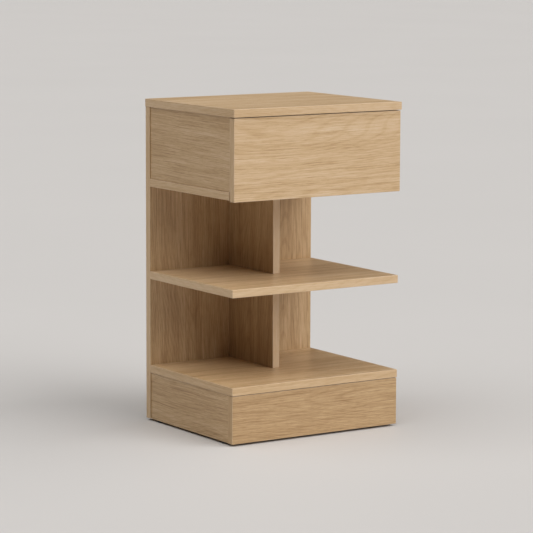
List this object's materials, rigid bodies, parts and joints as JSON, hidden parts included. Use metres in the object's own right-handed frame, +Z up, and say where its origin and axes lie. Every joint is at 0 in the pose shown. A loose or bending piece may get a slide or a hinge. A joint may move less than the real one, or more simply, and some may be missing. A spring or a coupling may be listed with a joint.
{
  "type": "nightstand with drawer",
  "caption": "Narrow bedside stand: full-height back panel, handleless push-to-open drawer under the top, two open bays with short central dividers, closed plinth.",
  "frame": {"origin": "on the floor, under the middle of the top panel", "axes": "+Z up, the drawer front faces -Y, +X to the right seen from the front"},
  "size_m": [0.4, 0.335, 0.663],
  "materials": {
    "oak_veneer": "satin lacquered light oak veneer",
    "drawer_box_wood": "satin oak veneer",
    "drawer_sheet": "satin veneered thin board",
    "beech_dowel": "raw beech",
    "plated_steel": "bright zinc plated steel",
    "cam_metal": "die-cast zinc, matt grey",
    "runner_steel": "zinc plated rolled steel",
    "ball_steel": "polished steel",
    "retainer_plastic": "natural white plastic",
    "dark_plastic": "black plastic, fine grain",
    "latch_tip": "rubber-faced magnet",
    "cap_plastic": "wood-tone plastic"
  },
  "bodies": {
    "carcass": {"back_panel": "oak_veneer", "base_front": "oak_veneer", "base_side_left": "oak_veneer", "base_side_right": "oak_veneer", "base_top": "oak_veneer", "cam_bolts": "plated_steel", "cam_discs": "cam_metal", "connecting_screws": "plated_steel", "floor_glides": "dark_plastic", "glide_nails": "plated_steel", "housing_bottom": "oak_veneer", "housing_side_left": "oak_veneer", "housing_side_right": "oak_veneer", "latch_housing": "dark_plastic", "latch_screws": "plated_steel", "latch_spring": "plated_steel", "lower_divider": "oak_veneer", "middle_shelf": "oak_veneer", "runner_outer_left": "runner_steel", "runner_outer_right": "runner_steel", "runner_screws_housing": "plated_steel", "screw_caps": "cap_plastic", "top_panel": "oak_veneer", "upper_divider": "oak_veneer", "wood_dowels": "beech_dowel"},
    "drawer": {"drawer_front": "oak_veneer", "drawer_box_front": "drawer_box_wood", "drawer_back": "drawer_box_wood", "drawer_side_left": "drawer_box_wood", "drawer_side_right": "drawer_box_wood", "drawer_bottom": "drawer_sheet", "drawer_dowels": "beech_dowel", "drawer_front_screws": "plated_steel", "runner_screws_drawer": "plated_steel", "strike_plate": "plated_steel", "runner_inner_left": "runner_steel", "runner_inner_right": "runner_steel"},
    "runner_middle_left": {"runner_middle_left": "runner_steel"},
    "runner_middle_right": {"runner_middle_right": "runner_steel"},
    "outer_retainer_left": {"outer_retainer_left": "retainer_plastic", "outer_balls_left": "ball_steel"},
    "inner_retainer_left": {"inner_retainer_left": "retainer_plastic", "inner_balls_left": "ball_steel"},
    "outer_retainer_right": {"outer_retainer_right": "retainer_plastic", "outer_balls_right": "ball_steel"},
    "inner_retainer_right": {"inner_retainer_right": "retainer_plastic", "inner_balls_right": "ball_steel"},
    "latch_plunger": {"latch_plunger": "dark_plastic", "latch_tip": "latch_tip"}
  },
  "joints": [
    {"name": "drawer_slide", "type": "slide", "parent": "carcass", "child": "drawer", "axis": [0, -1, 0], "range_m": [-0.0015, 0.25]},
    {"name": "runner_middle_left_slide", "type": "slide", "parent": "carcass", "child": "runner_middle_left", "axis": [0, -1, 0], "range_m": [-0.00075, 0.125]},
    {"name": "outer_retainer_left_slide", "type": "slide", "parent": "carcass", "child": "outer_retainer_left", "axis": [0, -1, 0], "range_m": [-0.00038, 0.0625]},
    {"name": "inner_retainer_left_slide", "type": "slide", "parent": "carcass", "child": "inner_retainer_left", "axis": [0, -1, 0], "range_m": [-0.00112, 0.1875]},
    {"name": "runner_middle_right_slide", "type": "slide", "parent": "carcass", "child": "runner_middle_right", "axis": [0, -1, 0], "range_m": [-0.00075, 0.125]},
    {"name": "outer_retainer_right_slide", "type": "slide", "parent": "carcass", "child": "outer_retainer_right", "axis": [0, -1, 0], "range_m": [-0.00038, 0.0625]},
    {"name": "inner_retainer_right_slide", "type": "slide", "parent": "carcass", "child": "inner_retainer_right", "axis": [0, -1, 0], "range_m": [-0.00112, 0.1875]},
    {"name": "latch_plunger_slide", "type": "slide", "parent": "carcass", "child": "latch_plunger", "axis": [0, -1, 0], "range_m": [-0.00012, 0.02], "deforming": ["latch_spring"]}
  ],
  "couplings": [
    {"joint": "runner_middle_left_slide", "follows": "drawer_slide", "ratio": 0.5},
    {"joint": "outer_retainer_left_slide", "follows": "drawer_slide", "ratio": 0.25},
    {"joint": "inner_retainer_left_slide", "follows": "drawer_slide", "ratio": 0.75},
    {"joint": "runner_middle_right_slide", "follows": "drawer_slide", "ratio": 0.5},
    {"joint": "outer_retainer_right_slide", "follows": "drawer_slide", "ratio": 0.25},
    {"joint": "inner_retainer_right_slide", "follows": "drawer_slide", "ratio": 0.75},
    {"joint": "latch_plunger_slide", "follows": "drawer_slide", "ratio": 0.08}
  ]
}
